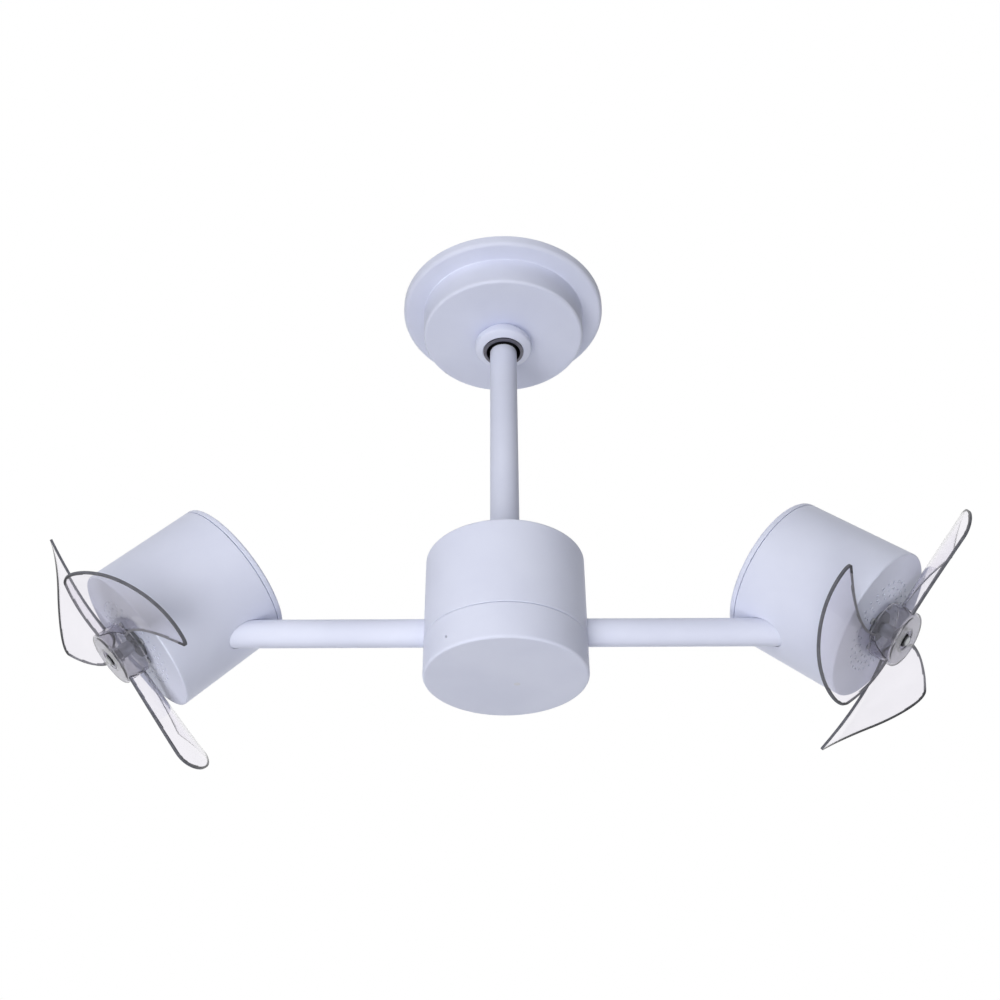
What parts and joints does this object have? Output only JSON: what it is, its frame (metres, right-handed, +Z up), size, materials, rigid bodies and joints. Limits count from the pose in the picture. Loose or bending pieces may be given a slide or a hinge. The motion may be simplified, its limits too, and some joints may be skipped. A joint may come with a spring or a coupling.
{
  "type": "twin head ceiling fan",
  "caption": "Twin head ceiling fan: a round canopy and down rod carry a turning drum with two arms, each with a tilting cylindrical head and a clear propeller.",
  "frame": {"origin": "centre of the face that meets the ceiling, on the down rod's axis and midway between the two ceiling screws", "axes": "+Z up into the ceiling, +X along the arms towards the head that is on the right in the picture, -Y towards the viewer"},
  "size_m": [0.8169, 0.2458, 0.4837],
  "materials": {
    "white_paint": "smooth white powder coat, semi-gloss",
    "white_screws": "white painted screw heads",
    "grey_metal": "satin silver-grey",
    "zinc_plate": "zinc plated",
    "steel": "ground steel",
    "cast_metal": "raw casting",
    "winding": "lacquered copper wire on laminations",
    "nylon": "natural nylon",
    "board": "printed board",
    "dark_plastic": "moulded black plastic",
    "black_steel": "black oxide",
    "clear_plastic": "clear grey-tinted plastic"
  },
  "bodies": {
    "ceiling_mount": {"ceiling_bracket": "zinc_plate", "canopy": "white_paint", "canopy_nipple": "grey_metal", "canopy_lock_ring": "white_paint", "terminal_block": "nylon"},
    "hanging_rod": {"hanger_ball": "dark_plastic", "hanger_pin": "steel", "down_rod": "white_paint", "swivel_spindle": "steel", "spindle_pin": "steel", "spindle_nut": "steel", "bearing_inner_races": "steel", "slip_ring_core": "dark_plastic"},
    "carousel": {"arm_hub": "cast_metal", "swivel_bearings": "steel", "hub_circlip": "steel", "drum_shell": "white_paint", "drum_shell_screws": "white_screws", "drum_cap": "white_paint", "cap_screws": "white_screws", "cap_spider": "zinc_plate", "spider_screws": "steel", "receiver_board": "board", "receiver_lens": "nylon", "slip_ring_housing": "dark_plastic", "left_arm": "white_paint", "right_arm": "white_paint", "left_arm_journal": "steel", "right_arm_journal": "steel", "arm_set_screws": "black_steel"},
    "left_head": {"left_head_shell": "white_paint", "left_front_plate": "white_paint", "left_rear_cap": "white_paint", "left_rear_cap_screws": "white_screws", "left_motor_can": "cast_metal", "left_motor_stator": "winding", "left_motor_bearings": "steel", "left_motor_screws": "steel", "left_swivel_bush": "nylon", "left_stop_screw": "black_steel"},
    "left_propeller": {"left_propeller": "clear_plastic", "left_motor_shaft": "steel", "left_motor_rotor": "steel", "left_shaft_collar": "grey_metal", "left_propeller_nut": "black_steel"},
    "right_head": {"right_head_shell": "white_paint", "right_front_plate": "white_paint", "right_rear_cap": "white_paint", "right_rear_cap_screws": "white_screws", "right_motor_can": "cast_metal", "right_motor_stator": "winding", "right_motor_bearings": "steel", "right_motor_screws": "steel", "right_swivel_bush": "nylon", "right_stop_screw": "black_steel"},
    "right_propeller": {"right_propeller": "clear_plastic", "right_motor_shaft": "steel", "right_motor_rotor": "steel", "right_shaft_collar": "grey_metal", "right_propeller_nut": "black_steel"}
  },
  "joints": [
    {"name": "hanger_swing", "type": "hinge", "parent": "ceiling_mount", "child": "hanging_rod", "pos_m": [0, 0, -0.0215], "axis": [0, 1, 0], "range_deg": [-5, 5]},
    {"name": "carousel_spin", "type": "hinge", "parent": "hanging_rod", "child": "carousel", "pos_m": [0, 0, -0.384], "axis": [0, 0, 1], "continuous": true},
    {"name": "left_head_tilt", "type": "hinge", "parent": "carousel", "child": "left_head", "pos_m": [-0.3155, 0, -0.384], "axis": [1, 0, 0], "range_deg": [-73.2, 86.8]},
    {"name": "left_propeller_spin", "type": "hinge", "parent": "left_head", "child": "left_propeller", "pos_m": [-0.3155, 0.00775, -0.38492], "axis": [-0.6934, -0.0853, -0.7155], "continuous": true},
    {"name": "right_head_tilt", "type": "hinge", "parent": "carousel", "child": "right_head", "pos_m": [0.3155, 0, -0.384], "axis": [1, 0, 0], "range_deg": [-60.7, 99.3]},
    {"name": "right_propeller_spin", "type": "hinge", "parent": "right_head", "child": "right_propeller", "pos_m": [0.3155, -0.00736, -0.38142], "axis": [0.6934, -0.2382, -0.6801], "continuous": true}
  ]
}
